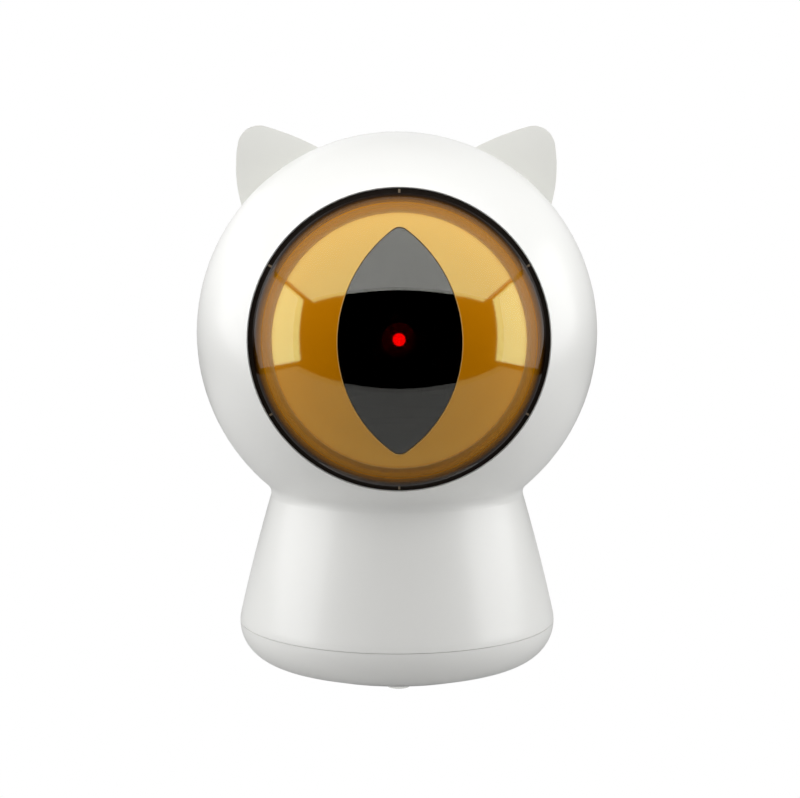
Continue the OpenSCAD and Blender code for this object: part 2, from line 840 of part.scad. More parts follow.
// One cell with its nub up
module cell() {
    cylinder(r = cell_d / 2, h = cell_len - nub_h);
    cylinder(r = nub_r, h = cell_len);
}

module battery_cells() {
    color("green") for (sx = [-1, 1], sy = [-1, 1]) translate([sx * cell_at, sy * cell_at, cell_z])
        if (sx * sy > 0) cell();
        else translate([0, 0, cell_len]) mirror([0, 0, 1]) cell();
}

module spring() {
    for (i = [0 : 2]) translate([0, 0, spring_wire + i * (spring_h - 2 * spring_wire) / 2])
        rotate_extrude() translate([spring_r - 2 * i * spring_wire, 0]) circle(spring_wire, $fn = 24);
    tube(spring_r - 2 * spring_wire, nub_r, spring_h - spring_wire);
}

module contact_plate(len) {
    translate([-contact_w / 2, -len / 2, 0]) cube([contact_w, len, contact_t]);
}

module battery_contacts() {
    color("silver") for (s = [-1, 1]) translate([s * cell_at, 0, box_top_z - box_wall - contact_t])
        contact_plate(box_in - contact_inset);
}

module door_contacts() {
    color("silver") translate([0, 0, floor_z]) {
        for (sx = [-1, 1]) translate([sx * cell_at, 0, 0]) contact_plate(2 * door_half - contact_inset);
        for (sx = [-1, 1], sy = [-1, 1]) translate([sx * cell_at, sy * cell_at, contact_t]) spring();
    }
}

// ---- Electronics in the pedestal ----

module main_board() {
    color("darkgreen") difference() {
        translate([-board_half_x, board_y, board_low_z])
            cube([2 * board_half_x, board_t, board_high_z - board_low_z]);
        for (s = [-1, 1], z = standoff_z) rearward(s * standoff_x, board_y - 1, z)
            cylinder(r = small_screw[0] + seat_gap, h = board_t + 2);
    }
}

module board_screws() {
    color("silver") for (s = [-1, 1], z = standoff_z)
        rearward(s * standoff_x, board_back_y, z) mirror([0, 0, 1]) screw(small_screw, board_screw_len);
}

module board_chips() {
    color("black") for (c = chips)
        translate([c[0], board_y - c[3], board_low_z + c[1]]) cube([c[2], c[3], c[4]]);
}

module tact_switch() {
    color("black") {
        translate([-switch_body.x / 2, board_back_y, button_z - switch_body.z / 2]) cube(switch_body);
        rearward(0, board_back_y + switch_body.y, button_z) cylinder(r = switch_stem[0], h = switch_stem[1]);
    }
}

module power_button() {
    color("gray") {
        intersection() {
            body_of_revolution(-button_proud);
            rearward(0, button_back_y, button_z) cylinder(r = button_r, h = base_r);
        }
        rearward(0, button_back_y, button_z) cylinder(r = button_r + button_flange_w, h = button_flange_t);
    }
}

module usb_board() {
    front_y = usb_face_y - usb_size.y - usb_board_ahead;
    color("darkgreen") translate([-usb_board_size.x / 2, front_y, usb_board_z]) cube(usb_board_size);
}

// Flat oval metal shell with its contact tongue
module usb_socket() {
    color("silver") translate([0, usb_face_y, usb_low_z + usb_size.z / 2])
        rotate([90, 0, 0]) union() {
            difference() {
                rounded_box([usb_size.x, usb_size.z], usb_corner, usb_size.y);
                translate([0, 0, -1]) rounded_box([usb_size.x, usb_size.z] - 2 * [usb_wall, usb_wall],
                    usb_corner - usb_wall, usb_size.y - usb_wall);
            }
            translate([-usb_tongue.x / 2, -usb_tongue.y / 2, 1])
                cube([usb_tongue.x, usb_tongue.y, usb_size.y - 1]);
        }
}

module light_pipe() {
    color("white") intersection() {
        body_of_revolution(-pipe_proud);
        rearward(0, board_back_y + led_size.y + free_gap, pipe_z) cylinder(r = pipe_r, h = base_r);
    }
}

module indicator_led() {
    color("white") translate([-led_size.x / 2, board_back_y, pipe_z - led_size.z / 2]) cube(led_size);
}

// ---- Gimbal ----

module chassis_plate() {
    color("gray") difference() {
        intersection() {
            translate([0, 0, plate_z]) cylinder(r = plate_r, h = plate_t);
            translate([-big, plate_front_y, 0]) cube([2 * big, 2 * big, big]);
        }
        translate([0, 0, plate_z - 1]) cylinder(r = bushing_r + seat_gap, h = plate_t + 2);
        translate([pan_motor_x, 0, plate_z - 1]) cylinder(r = pilot_r + seat_gap, h = plate_t + 2);
        for (s = [-1, 1], y = [post_front_y, post_rear_y]) translate([s * post_x, y, plate_z - 1])
            cylinder(r = case_screw[0] + seat_gap, h = plate_t + 2);
    }
}

module chassis_screws() {
    color("silver") for (s = [-1, 1], y = [post_front_y, post_rear_y])
        translate([s * post_x, y, plate_top_z]) mirror([0, 0, 1]) screw(case_screw, plate_screw_len);
}

module pan_bushing() {
    color("goldenrod") translate([0, 0, plate_z]) {
        tube(bushing_r, hub_r + run_gap, plate_t);
        translate([0, 0, plate_t]) tube(bushing_flange_r, hub_r + run_gap, bushing_flange_t);
    }
}

// Round gear motor that hangs from local z = 0
module motor() {
    difference() {
        union() {
            translate([0, 0, -motor_len]) cylinder(r = motor_d / 2, h = motor_len);
            cylinder(r = pilot_r, h = 1);
        }
        translate([0, 0, -motor_len / 2]) cylinder(r = motor_shaft_r + run_gap, h = motor_len);
    }
}

module pan_motor() {
    color("silver") translate([pan_motor_x, 0, plate_z]) motor();
}

module pan_motor_shaft() {
    color("silver") translate([pan_motor_x, 0, plate_z - motor_len / 2 + 1])
        cylinder(r = motor_shaft_r, h = pan_gear_z + gear_t + shaft_end - plate_z + motor_len / 2 - 1);
}

module pan_pinion() {
    color("ivory") translate([pan_motor_x, 0, pan_gear_z]) pinion(motor_shaft_r);
}

module arm(s) {
    translate([s > 0 ? arm_x : -arm_x - arm_t, 0, 0]) difference() {
        union() {
            translate([0, -arm_half_y, pan_gear_z]) cube([arm_t, 2 * arm_half_y, head_z - pan_gear_z]);
            translate([0, 0, head_z]) rotate([0, 90, 0]) cylinder(r = arm_head_r, h = arm_t);
        }
        translate([-1, 0, head_z]) rotate([0, 90, 0]) cylinder(r = pin_r + run_gap, h = arm_t + 2);
    }
}

module pan_yoke() {
    color("lightgray") difference() {
        union() {
            translate([0, 0, pan_gear_z]) gear(pan_teeth, -pan_tooth_span, pan_tooth_span, gear_t);
            translate([0, 0, plate_z + seat_gap]) cylinder(r = hub_r, h = pan_gear_z - plate_z);
            for (s = [-1, 1]) arm(s);
            // Motor bracket
            translate([-motor_d / 2, 0, pan_gear_z])
                cube([bracket_x + bracket_t + motor_d / 2, tilt_motor_y + motor_d / 2, gear_t]);
            translate([bracket_x, tilt_motor_y - motor_d / 2, pan_gear_z])
                cube([bracket_t, motor_d, head_z - pan_gear_z]);
            tilt_axis() translate([tilt_motor_y, 0, bracket_x]) cylinder(r = motor_d / 2, h = bracket_t);
        }
        translate([0, 0, plate_z - 1]) cylinder(r = small_screw[0] + seat_gap, h = pan_screw_len + 1.5);
        tilt_axis() translate([tilt_motor_y, 0, bracket_x - 1])
            cylinder(r = pilot_r + seat_gap, h = bracket_t + 2);
    }
}

module pan_washer() {
    color("silver") translate([0, 0, plate_z - washer_t - seat_gap])
        tube(washer_r, small_screw[0] + seat_gap, washer_t);
}

module pan_screw() {
    color("silver") translate([0, 0, plate_z - washer_t - seat_gap]) screw(small_screw, pan_screw_len);
}

module tilt_motor() {
    color("silver") tilt_axis() translate([tilt_motor_y, 0, bracket_x]) motor();
}

module tilt_motor_shaft() {
    start = bracket_x - motor_len / 2 + 1;
    color("silver") tilt_axis() translate([tilt_motor_y, 0, start])
        cylinder(r = motor_shaft_r, h = sector_x - pinion_lead + gear_t + shaft_end - start);
}

module tilt_pinion() {
    color("ivory") tilt_axis() translate([tilt_motor_y, 0, sector_x - pinion_lead]) pinion(motor_shaft_r);
}

module laser_cradle() {
    color("lightgray") difference() {
        union() {
            translate([-cradle_half_x, -cradle_front, head_z - cradle_half_z])
                cube([2 * cradle_half_x, cradle_front + cradle_rear, 2 * cradle_half_z]);
            tilt_axis() {
                translate([0, 0, -arm_x + free_gap]) cylinder(r = trunnion_r, h = 2 * (arm_x - free_gap));
                translate([0, 0, sector_x]) gear(tilt_teeth, -tilt_tooth_span, tilt_tooth_span, sector_t);
            }
        }
        eye_axis() translate([0, 0, -big / 2]) cylinder(r = laser_r + seat_gap, h = big);
        tilt_axis() for (s = [0, 1]) mirror([0, 0, s]) translate([0, 0, arm_x - free_gap - pin_bite])
            cylinder(r = pin_r + seat_gap / 2, h = pin_bite + 1);
        // Half of the unused blank is cut away in front
        translate([sector_x - 0.5, -big / 2 - trunnion_r - 0.5, head_z - big / 2])
            cube([sector_t + 1, big / 2, big]);
        translate([0, set_screw_y, head_z]) cylinder(r = small_screw[0] + seat_gap, h = big);
    }
}

module tilt_pins() {
    color("silver") tilt_axis() for (s = [0, 1]) mirror([0, 0, s])
        translate([0, 0, arm_x - free_gap - pin_bite]) cylinder(r = pin_r, h = pin_bite + free_gap + arm_t);
}

module laser_barrel() {
    color("goldenrod") eye_axis() difference() {
        translate([0, 0, -barrel_tail]) cylinder(r = laser_r, h = laser_reach + barrel_tail);
        translate([0, 0, -barrel_tail - 1])
            cylinder(r = laser_r - barrel_wall, h = laser_reach + barrel_tail + 1 - cap_t);
        cylinder(r = aperture_r + seat_gap, h = big);
    }
}

module laser_lens() {
    color("red") eye_axis() translate([0, 0, laser_reach - cap_t])
        cylinder(r = aperture_r, h = cap_t + aperture_proud);
}

module laser_diode() {
    color("gold") eye_axis() translate([0, 0, laser_reach / 4])
        cylinder(r = laser_r - barrel_wall - seat_gap, h = laser_reach / 4);
}

module laser_board() {
    half = laser_r - barrel_wall - free_gap;
    color("darkgreen") eye_axis() translate([-half, -0.5, -cradle_rear])
        cube([2 * half, 1, laser_reach / 4 + cradle_rear]);
}

module laser_set_screw() {
    color("dimgray") translate([0, set_screw_y, head_z + laser_r + seat_gap]) difference() {
        cylinder(r = small_screw[0], h = set_screw_len);
        translate([0, 0, set_screw_len / 2]) cylinder(r = small_screw[0] * socket_share, h = 2, $fn = 6);
    }
}

front_shell();
rear_shell();
shell_screws();
left_ear();
right_ear();
eye_lens();
eye_gasket();
iris();
pupil_window();
iris_frame();
iris_frame_screws();
base_pan();
base_screws();
rubber_feet();
battery_door();
battery_door_screw();
battery_box();
battery_cells();
battery_contacts();
door_contacts();
main_board();
board_chips();
board_screws();
tact_switch();
power_button();
usb_board();
usb_socket();
light_pipe();
indicator_led();
chassis_plate();
chassis_screws();
pan_bushing();
pan_motor();
pan_motor_shaft();
pan_pinion();
pan_yoke();
pan_washer();
pan_screw();
tilt_motor();
tilt_motor_shaft();
tilt_pinion();
laser_cradle();
tilt_pins();
laser_barrel();
laser_lens();
laser_diode();
laser_board();
laser_set_screw();
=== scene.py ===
# %% [markdown]
# # A cat laser toy in its light tent
#
# The toy is a white ball with two ears and one big amber eye, on a flared pedestal. The packed
# model brings every rigid part at its real size, so this script gives the parts their finishes,
# models the pieces whose soft edges want finer work, and builds the studio round them.

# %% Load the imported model
import json
import math
import bmesh
import bpy
from mathutils import Matrix, Vector


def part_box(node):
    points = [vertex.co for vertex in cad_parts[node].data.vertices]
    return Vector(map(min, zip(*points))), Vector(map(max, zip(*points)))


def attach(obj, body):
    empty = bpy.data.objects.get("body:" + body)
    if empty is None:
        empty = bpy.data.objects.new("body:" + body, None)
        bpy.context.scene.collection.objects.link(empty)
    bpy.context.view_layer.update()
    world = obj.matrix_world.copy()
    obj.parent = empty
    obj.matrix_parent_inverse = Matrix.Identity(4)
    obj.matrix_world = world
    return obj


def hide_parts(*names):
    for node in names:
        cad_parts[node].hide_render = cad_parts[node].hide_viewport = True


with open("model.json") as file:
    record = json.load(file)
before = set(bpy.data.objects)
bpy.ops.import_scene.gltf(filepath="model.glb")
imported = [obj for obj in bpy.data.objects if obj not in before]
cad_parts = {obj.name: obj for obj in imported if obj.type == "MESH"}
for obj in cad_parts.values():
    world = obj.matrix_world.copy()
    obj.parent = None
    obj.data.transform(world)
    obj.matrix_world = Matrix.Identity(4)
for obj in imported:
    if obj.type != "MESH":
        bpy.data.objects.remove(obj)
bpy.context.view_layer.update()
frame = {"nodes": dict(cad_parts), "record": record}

# %% [markdown]
# ## Sizes
#
# Blender works in metres here, but a toy is drawn in millimetres, so one factor turns one into the
# other. The ball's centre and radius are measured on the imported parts: the lens is centred on the
# ball, and the rear shell is as wide as the ball.

# %% Read the driving sizes from the frame
MM = 0.001
lens_low, lens_high = (Vector(corner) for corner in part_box("eye_lens"))
shell_low, shell_high = (Vector(corner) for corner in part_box("rear_shell"))
ball_r = (shell_high.x - shell_low.x) / 2
ball_z = (lens_low.z + lens_high.z) / 2
ball = Vector((0, 0, ball_z))
print("ball radius %.2f mm, centre %.2f mm up" % (ball_r / MM, ball_z / MM))

# %% [markdown]
# ## Camera
#
# The photograph was taken from close by with a slightly long lens, a little above the middle of
# the ball. The distance follows from how strongly the pedestal shrinks towards the bottom. The
# angles are a turn about the toy, a tilt downwards, and a small swing that centres the toy in the
# picture.

# %% Stand the camera in front of the eye
PICTURE_W = 800
CAMERA_DISTANCE = 403.5 * MM
CAMERA_RISE = 20.1 * MM
CAMERA_TURN = math.radians(-0.84)
CAMERA_PITCH = 0.0910  # radians
CAMERA_YAW = math.radians(-0.107)
FOCAL_PIXELS = 1604.1
SENSOR_MM = 36.0
CLIP_NEAR, CLIP_FAR = 0.01, 20


def add_camera():
    data = bpy.data.cameras.new("studio_camera")
    data.sensor_fit = "HORIZONTAL"
    data.sensor_width = SENSOR_MM
    data.lens = FOCAL_PIXELS / PICTURE_W * SENSOR_MM
    data.clip_start = CLIP_NEAR
    data.clip_end = CLIP_FAR
    camera = bpy.data.objects.new("studio_camera", data)
    bpy.context.collection.objects.link(camera)
    camera.location = (CAMERA_DISTANCE * math.sin(CAMERA_TURN),
                       -CAMERA_DISTANCE * math.cos(CAMERA_TURN),
                       ball_z + CAMERA_RISE)
    camera.rotation_euler = (math.pi / 2 - CAMERA_PITCH, 0, CAMERA_TURN + CAMERA_YAW)
    bpy.context.scene.camera = camera
    return camera


print("lens %.1f mm" % add_camera().data.lens)

# %% [markdown]
# ## Helpers for materials
#
# A finish is a small graph of nodes. One function turns a colour picked in sRGB into the linear
# values that the shader wants, and one adds a node with its settings, values and links.

# %% Colour and node helpers


def linear(hex_colour):
    """Linear red, green, blue and 1 from an sRGB value such as "F4F3F0"."""
    channels = [int(hex_colour[i:i + 2], 16) / 255 for i in (0, 2, 4)]
    return [c / 12.92 if c <= 0.04045 else ((c + 0.055) / 1.055) ** 2.4 for c in channels] + [1.0]


def grey(share):
    """The same share of red, green and blue."""
    return (share, share, share, 1.0)


def add(tree, kind, links=None, inputs=None, stops=(), **settings):
    """Adds a node. Links are sockets to join to its inputs, inputs are values for them, stops are
    a Color Ramp's places and colours in rising order, and settings are the node's own."""
    node = tree.nodes.new(kind)
    for name, value in settings.items():
        setattr(node, name, value)
    for name, value in (inputs or {}).items():
        node.inputs[name].default_value = value
    for name, socket in (links or {}).items():
        tree.links.new(socket, node.inputs[name])
    for number, (place, colour) in enumerate(stops):
        ramp = node.color_ramp.elements
        stop = ramp[number] if number < len(ramp) else ramp.new(place)
        stop.position, stop.color = place, colour
    return node


def new_material(name):
    """An empty material and the socket where its surface ends."""
    material = bpy.data.materials.new(name)
    material.use_nodes = True
    tree = material.node_tree
    tree.nodes.clear()
    output = tree.nodes.new("ShaderNodeOutputMaterial")
    return material, tree, output.inputs["Surface"]


print("the middle sRGB grey is %.3f in linear light" % linear("808080")[0])

# %% [markdown]
# ## Moulded plastic
#
# Housings are injection moulded ABS. The steel mould is spark-eroded, so the surface has a very
# fine grain that spreads each reflection a little, and the plastic's shade drifts slightly over a
# part. The real grain is a few hundredths of a millimetre, too fine to show here, so it is drawn
# coarser. The white housing keeps a soft shine over its grain, which is drawn as a blurred clear
# coat. Nylon and acetal, for the parts inside, differ only in colour, dullness and size of grain.

# %% A moulded plastic with its spark-eroded grain
ABS_IOR = 1.54
SHADE_DRIFT = 40 * MM
GRAIN_RELIEF = 0.02 * MM
GRAIN_SPREAD = 0.03
COAT_ROUGHNESS = 0.22


def moulded_plastic(name, colour, shade, roughness, grain_mm=0.35, bump=0.06, ior=ABS_IOR,
                    coat=0.0):
    """A plastic that drifts between two shades, under a fine grain."""
    material, tree, surface = new_material(name)
    place = add(tree, "ShaderNodeTexCoord").outputs["Object"]
    drift = add(tree, "ShaderNodeTexNoise", {"Vector": place},
                {"Scale": 1 / SHADE_DRIFT, "Detail": 2.0, "Roughness": 0.5})
    mix = add(tree, "ShaderNodeMix", {"Factor": drift.outputs["Fac"]},
              {"A": linear(colour), "B": linear(shade)}, data_type="RGBA")
    grain = add(tree, "ShaderNodeTexNoise", {"Vector": place},
                {"Scale": 1 / (grain_mm * MM), "Detail": 3.0, "Roughness": 0.6})
    spread = add(tree, "ShaderNodeMapRange", {"Value": grain.outputs["Fac"]},
                 {"From Min": 0.3, "From Max": 0.7,
                  "To Min": roughness - GRAIN_SPREAD, "To Max": roughness + GRAIN_SPREAD})
    relief = add(tree, "ShaderNodeBump", {"Height": grain.outputs["Fac"]},
                 {"Strength": bump, "Distance": GRAIN_RELIEF})
    body = add(tree, "ShaderNodeBsdfPrincipled",
               {"Base Color": mix.outputs["Result"], "Roughness": spread.outputs["Result"],
                "Normal": relief.outputs["Normal"]},
               {"IOR": ior, "Coat Weight": coat, "Coat Roughness": COAT_ROUGHNESS})
    tree.links.new(body.outputs["BSDF"], surface)
    return material


white_abs = moulded_plastic("white_moulded_abs", "F8F8F5", "F4F4F1", 0.34, coat=0.35)
# The ears are the same white ABS as the housing, drawn a shade greyer: painted shade, for their flat
# fronts face the dark open front of the tent.
ear_abs_painted_shade = moulded_plastic("ear_moulded_abs_painted_shade", "E7E7E2", "E1E1DC", 0.42)
button_abs = moulded_plastic("button_moulded_abs", "D9D9D6", "D3D3D0", 0.30)
black_abs = moulded_plastic("black_moulded_abs", "0B0B0C", "08080A", 0.38)
grey_nylon = moulded_plastic("grey_glass_nylon", "9A9C9E", "8D8F91", 0.55, grain_mm=0.6, bump=0.12)
ivory_acetal = moulded_plastic("ivory_acetal", "EFEADB", "E7E1CF", 0.28)
print("plastics:", white_abs.name, ear_abs_painted_shade.name, button_abs.name, black_abs.name,
      grey_nylon.name, ivory_acetal.name)

# %% [markdown]
# ## Rubber
#
# The ring round the lens is black moulded elastomer. Its grain is coarser than that of ABS, with
# dust-fine specks, and its index of refraction is close to 1.5. The feet are the clear silicone
# bumpers that such toys often have: milky, and nearly lost against a white table. Part of the
# light goes straight through them and the rest is scattered, so two shaders are mixed by a cloudy
# noise.

# %% Elastomer for the lens ring, silicone for the feet
RUBBER_IOR = 1.5
SILICONE_IOR = 1.41
SILICONE_CLOUD = 1.5 * MM

ring_rubber = moulded_plastic("ring_elastomer", "140E09", "20170F", 0.32, grain_mm=0.8, bump=0.1,
                              ior=RUBBER_IOR)


def clear_silicone():
    material, tree, surface = new_material("clear_silicone")
    place = add(tree, "ShaderNodeTexCoord").outputs["Object"]
    cloud = add(tree, "ShaderNodeTexNoise", {"Vector": place},
                {"Scale": 1 / SILICONE_CLOUD, "Detail": 3.0})
    milk = add(tree, "ShaderNodeMapRange", {"Value": cloud.outputs["Fac"]},
               {"To Min": 0.15, "To Max": 0.3})
    through = add(tree, "ShaderNodeBsdfTransparent", None, {"Color": linear("FAFAF8")})
    body = add(tree, "ShaderNodeBsdfPrincipled", None,
               {"Base Color": linear("F4F4F2"), "Roughness": 0.35, "IOR": SILICONE_IOR})
    mix = add(tree, "ShaderNodeMixShader",
              {0: milk.outputs["Result"], 1: through.outputs["BSDF"], 2: body.outputs["BSDF"]})
    tree.links.new(mix.outputs["Shader"], surface)
    return material


foot_rubber = clear_silicone()
print("rubbers:", ring_rubber.name, foot_rubber.name)

# %% [markdown]
# ## The iris: gold behind the lens
#
# The iris is a thin cap sprayed with amber lacquer that holds gold pearl pigment. The dye gives
# the deep orange seen where nothing bright is reflected, and the flakes of pigment throw back
# yellow light wherever they mirror a lamp. So it is drawn as a dyed diffuse layer plus a yellow
# sheen. The bowl round the iris has the same lacquer in brown, and it darkens to black where it
# meets the ring: that darkening is painted shade of the deep groove. Both colours change with the
# distance from the eye's axis, which a few nodes work out.

# %% Amber lacquers, graded by the distance from the eye's axis
AMBER_DYE = "C57B02"
AMBER_EDGE = "CC8212"
PEARL_SHEEN = "717A52"
PEARL_FLAKE = 0.5 * MM
FLAKE_RELIEF = 0.01 * MM
IRIS_REACH = 30 * MM
BOWL_INNER, BOWL_OUTER = 29.0 * MM, 34.0 * MM


def radial_distance(tree):
    """Distance of a point from the eye's axis, in metres."""
    place = add(tree, "ShaderNodeTexCoord").outputs["Object"]
    parts = add(tree, "ShaderNodeSeparateXYZ", {"Vector": place})
    across = add(tree, "ShaderNodeMath", {0: parts.outputs["X"]}, {1: 2.0}, operation="POWER")
    lift = add(tree, "ShaderNodeMath", {0: parts.outputs["Z"]}, {1: ball_z}, operation="SUBTRACT")
    upward = add(tree, "ShaderNodeMath", {0: lift.outputs["Value"]}, {1: 2.0}, operation="POWER")
    total = add(tree, "ShaderNodeMath",
                {0: across.outputs["Value"], 1: upward.outputs["Value"]}, operation="ADD")
    root = add(tree, "ShaderNodeMath", {0: total.outputs["Value"]}, operation="SQRT")
    return root.outputs["Value"]


def amber_lacquer():
    material, tree, surface = new_material("amber_lacquer")
    reach = add(tree, "ShaderNodeMapRange", {"Value": radial_distance(tree)},
                {"From Min": 0.0, "From Max": IRIS_REACH})
    dye = add(tree, "ShaderNodeValToRGB", {"Fac": reach.outputs["Result"]},
              stops=[(0.0, linear(AMBER_DYE)), (0.8, linear(AMBER_DYE)), (1.0, linear(AMBER_EDGE))])
    place = add(tree, "ShaderNodeTexCoord").outputs["Object"]
    flake = add(tree, "ShaderNodeTexNoise", {"Vector": place},
                {"Scale": 1 / PEARL_FLAKE, "Detail": 2.0})
    relief = add(tree, "ShaderNodeBump", {"Height": flake.outputs["Fac"]},
                 {"Strength": 0.02, "Distance": FLAKE_RELIEF})
    layer = add(tree, "ShaderNodeBsdfDiffuse", {"Color": dye.outputs["Color"]})
    sheen = add(tree, "ShaderNodeBsdfGlossy", {"Normal": relief.outputs["Normal"]},
                {"Color": linear(PEARL_SHEEN), "Roughness": 0.07})
    both = add(tree, "ShaderNodeAddShader", {0: layer.outputs["BSDF"], 1: sheen.outputs["BSDF"]})
    tree.links.new(both.outputs["Shader"], surface)
    return material


def bowl_lacquer_and_painted_shade():
    material, tree, surface = new_material("frame_lacquer_with_painted_shade")
    reach = add(tree, "ShaderNodeMapRange", {"Value": radial_distance(tree)},
                {"From Min": BOWL_INNER, "From Max": BOWL_OUTER})
    # The brown is the lacquer's own; its darkening to black at the outer stops is painted shade.
    tone = add(tree, "ShaderNodeValToRGB", {"Fac": reach.outputs["Result"]},
               stops=[(0.0, linear("C08A20")), (0.5, linear("B47C1A")), (0.75, linear("7A4C16")),
                      (1.0, linear("160D05"))])
    body = add(tree, "ShaderNodeBsdfPrincipled", {"Base Color": tone.outputs["Color"]},
               {"Roughness": 0.45, "Coat Weight": 0.2, "Coat Roughness": 0.1})
    tree.links.new(body.outputs["BSDF"], surface)
    return material


iris_gold = amber_lacquer()
bowl_amber_and_shade = bowl_lacquer_and_painted_shade()
print("lacquers:", iris_gold.name, bowl_amber_and_shade.name)

# %% [markdown]
# ## Clear and smoked acrylic
#
# The lens is clear acrylic. Light passes through a thin even wall almost straight, so it is drawn
# as a see-through film with a mirror layer on its outside, weighed by Fresnel: each face of the
# wall sends back about a twenty-fifth of the light face on, and much more towards the rim. How
# many faces the mirror stands for is matched to the photograph. Wiping leaves a faint haze that
# comes and goes over a centimetre or so. The window in the pupil is the same in dark smoked
# acrylic.
#
# Towards the lens's edge one looks along its wall, which carries the colour of the iris. Here that
# colour is painted on as a diffuse amber, which darkens to black at the edge as painted shade. It
# is drawn on the outer face, and left out for shadow rays, so that the bowl behind it stays lit.

# %% Acrylic as a film under a Fresnel mirror
ACRYLIC_IOR = 1.49
WIPE_MARKS = 12 * MM
WIPE_HAZE = 0.02
LENS_WALL_INNER, LENS_WALL_OUTER = 29.4 * MM, 33.6 * MM


def acrylic_film(name, tint, faces, painted_wall_light=None):
    """A clear film; its mirror stands for so many faces of the real wall, and lies outside."""
    material, tree, surface = new_material(name)
    through = add(tree, "ShaderNodeBsdfTransparent", None, {"Color": linear(tint)})
    if painted_wall_light:
        through = painted_wall_light(tree, through)
    place = add(tree, "ShaderNodeTexCoord").outputs["Object"]
    wipes = add(tree, "ShaderNodeTexNoise", {"Vector": place},
                {"Scale": 1 / WIPE_MARKS, "Detail": 2.0})
    haze = add(tree, "ShaderNodeMapRange", {"Value": wipes.outputs["Fac"]},
               {"To Min": 0.0, "To Max": WIPE_HAZE})
    mirror = add(tree, "ShaderNodeBsdfGlossy", {"Roughness": haze.outputs["Result"]},
                 {"Color": grey(1.0)})
    fresnel = add(tree, "ShaderNodeFresnel", None, {"IOR": ACRYLIC_IOR})
    passed = add(tree, "ShaderNodeMath", {1: fresnel.outputs["Fac"]}, {0: 1.0},
                 operation="SUBTRACT")
    passed_all = add(tree, "ShaderNodeMath", {0: passed.outputs["Value"]}, {1: faces},
                     operation="POWER")
    sent_back = add(tree, "ShaderNodeMath", {1: passed_all.outputs["Value"]}, {0: 1.0},
                    operation="SUBTRACT")
    inside = add(tree, "ShaderNodeNewGeometry").outputs["Backfacing"]
    outside = add(tree, "ShaderNodeMath", {1: inside}, {0: 1.0}, operation="SUBTRACT")
    weight = add(tree, "ShaderNodeMath",
                 {0: sent_back.outputs["Value"], 1: outside.outputs["Value"]},
                 operation="MULTIPLY")
    mix = add(tree, "ShaderNodeMixShader",
              {0: weight.outputs["Value"], 1: through.outputs[0], 2: mirror.outputs["BSDF"]})
    tree.links.new(mix.outputs["Shader"], surface)
    return material


def painted_wall_amber_and_shade(tree, through):
    """Mixes painted amber into the film, more and darker towards the edge: painted light and shade.
    """
    reach = add(tree, "ShaderNodeMapRange", {"Value": radial_distance(tree)},
                {"From Min": LENS_WALL_INNER, "From Max": LENS_WALL_OUTER})
    share = add(tree, "ShaderNodeValToRGB", {"Fac": reach.outputs["Result"]},
                stops=[(0.0, grey(0.0)), (0.26, grey(0.5)), (1.0, grey(0.95))])
    # Painted light and shade: the iris's amber seen along the wall, darkening to black at the edge.
    tone = add(tree, "ShaderNodeValToRGB", {"Fac": reach.outputs["Result"]},
               stops=[(0.0, linear("C8860C")), (0.45, linear("B87808")), (0.68, linear("744A0A")),
                      (0.86, linear("281604")), (1.0, linear("080402"))])
    painted_amber = add(tree, "ShaderNodeBsdfDiffuse", {"Color": tone.outputs["Color"]})
    shadow_ray = add(tree, "ShaderNodeLightPath").outputs["Is Shadow Ray"]
    inside = add(tree, "ShaderNodeNewGeometry").outputs["Backfacing"]
    unseen = add(tree, "ShaderNodeMath", {0: shadow_ray, 1: inside}, operation="MAXIMUM")
    seen = add(tree, "ShaderNodeMath", {1: unseen.outputs["Value"]}, {0: 1.0},
               operation="SUBTRACT")
    amount = add(tree, "ShaderNodeMath", {0: share.outputs["Color"], 1: seen.outputs["Value"]},
                 operation="MULTIPLY")
    return add(tree, "ShaderNodeMixShader",
               {0: amount.outputs["Value"], 1: through.outputs["BSDF"],
                2: painted_amber.outputs["BSDF"]})


lens_acrylic_painted_rim = acrylic_film("clear_acrylic_painted_rim", "FEFEFC", 0.45, painted_wall_amber_and_shade)
smoked_acrylic = acrylic_film("smoked_acrylic", "848486", 2.75)
print("acrylics:", lens_acrylic_painted_rim.name, smoked_acrylic.name)

# %% [markdown]
# ## Metals and boards
#
# Screws and shafts are nickel-plated steel, the bushing and barrel are brass, and the boards are
# glass-fibre laminate under green solder mask. Lathe and draw plate leave fine marks on a metal,
# which blur its reflections unevenly; a fine noise stands for them. Nearly all of it lies inside
# and shows only when the toy is opened, but every piece has its own finish.

# %% Turned and plated metals, boards and cells
MARK_SPREAD = 0.08
MARK_RELIEF = 0.01 * MM


def turned_metal(name, colour, roughness, mark_mm):
    """A metal with fine marks, this many millimetres apart, from the lathe or the draw plate."""
    material, tree, surface = new_material(name)
    place = add(tree, "ShaderNodeTexCoord").outputs["Object"]
    marks = add(tree, "ShaderNodeTexNoise", {"Vector": place},
                {"Scale": 1 / (mark_mm * MM), "Detail": 4.0})
    rough = add(tree, "ShaderNodeMapRange", {"Value": marks.outputs["Fac"]},
                {"To Min": roughness - MARK_SPREAD, "To Max": roughness + MARK_SPREAD})
    relief = add(tree, "ShaderNodeBump", {"Height": marks.outputs["Fac"]},
                 {"Strength": 0.08, "Distance": MARK_RELIEF})
    body = add(tree, "ShaderNodeBsdfPrincipled",
               {"Roughness": rough.outputs["Result"], "Normal": relief.outputs["Normal"]},
               {"Base Color": linear(colour), "Metallic": 1.0})
    tree.links.new(body.outputs["BSDF"], surface)
    return material


